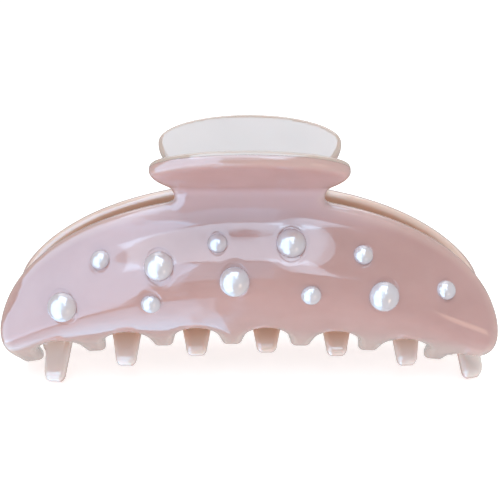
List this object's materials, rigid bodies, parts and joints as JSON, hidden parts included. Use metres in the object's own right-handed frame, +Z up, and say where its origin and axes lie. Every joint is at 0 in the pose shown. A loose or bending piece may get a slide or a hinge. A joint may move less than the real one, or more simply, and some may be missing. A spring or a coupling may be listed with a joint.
{
  "type": "hair claw clip",
  "caption": "Large hair claw clip: two sprung, heat-formed acetate jaws with interlocking teeth, splayed thumb handles and half-round pearls set in both outer faces.",
  "frame": {"origin": "on the surface the clip stands on, under the middle of its box, below the hinge pin", "axes": "+X along the clip, parallel to the hinge pin; -Y faces the front jaw; +Z up, from tooth tips to handles"},
  "size_m": [0.1022, 0.0344, 0.0535],
  "materials": {
    "rosy_acetate": "polished, rosy outer layer on a cream inner layer",
    "cream_acetate": "satin",
    "pearl": "pearly",
    "hinge_steel": "bright nickel",
    "spring_steel": "drawn wire"
  },
  "bodies": {
    "rear_half": {"rear_jaw": "rosy_acetate", "rear_knuckle_left": "cream_acetate", "rear_knuckle_right": "cream_acetate", "hinge_pin": "hinge_steel", "pin_cap": "hinge_steel", "torsion_spring": "spring_steel", "rear_pearl_large_1": "pearl", "rear_pearl_large_2": "pearl", "rear_pearl_large_3": "pearl", "rear_pearl_large_4": "pearl", "rear_pearl_large_5": "pearl", "rear_pearl_small_1": "pearl", "rear_pearl_small_2": "pearl", "rear_pearl_small_3": "pearl", "rear_pearl_small_4": "pearl", "rear_pearl_small_5": "pearl", "rear_pearl_small_6": "pearl"},
    "front_half": {"front_jaw": "rosy_acetate", "front_knuckle_left": "cream_acetate", "front_knuckle_right": "cream_acetate", "front_pearl_large_1": "pearl", "front_pearl_large_2": "pearl", "front_pearl_large_3": "pearl", "front_pearl_large_4": "pearl", "front_pearl_large_5": "pearl", "front_pearl_small_1": "pearl", "front_pearl_small_2": "pearl", "front_pearl_small_3": "pearl", "front_pearl_small_4": "pearl", "front_pearl_small_5": "pearl", "front_pearl_small_6": "pearl"}
  },
  "joints": [
    {"name": "jaw_hinge", "type": "hinge", "parent": "rear_half", "child": "front_half", "pos_m": [0, 0, 0.04136], "axis": [-1, 0, 0], "range_deg": [0, 80], "stiffness_Nm_per_rad": 0.14, "springref_deg": -40.11, "deforming": ["torsion_spring"]}
  ]
}
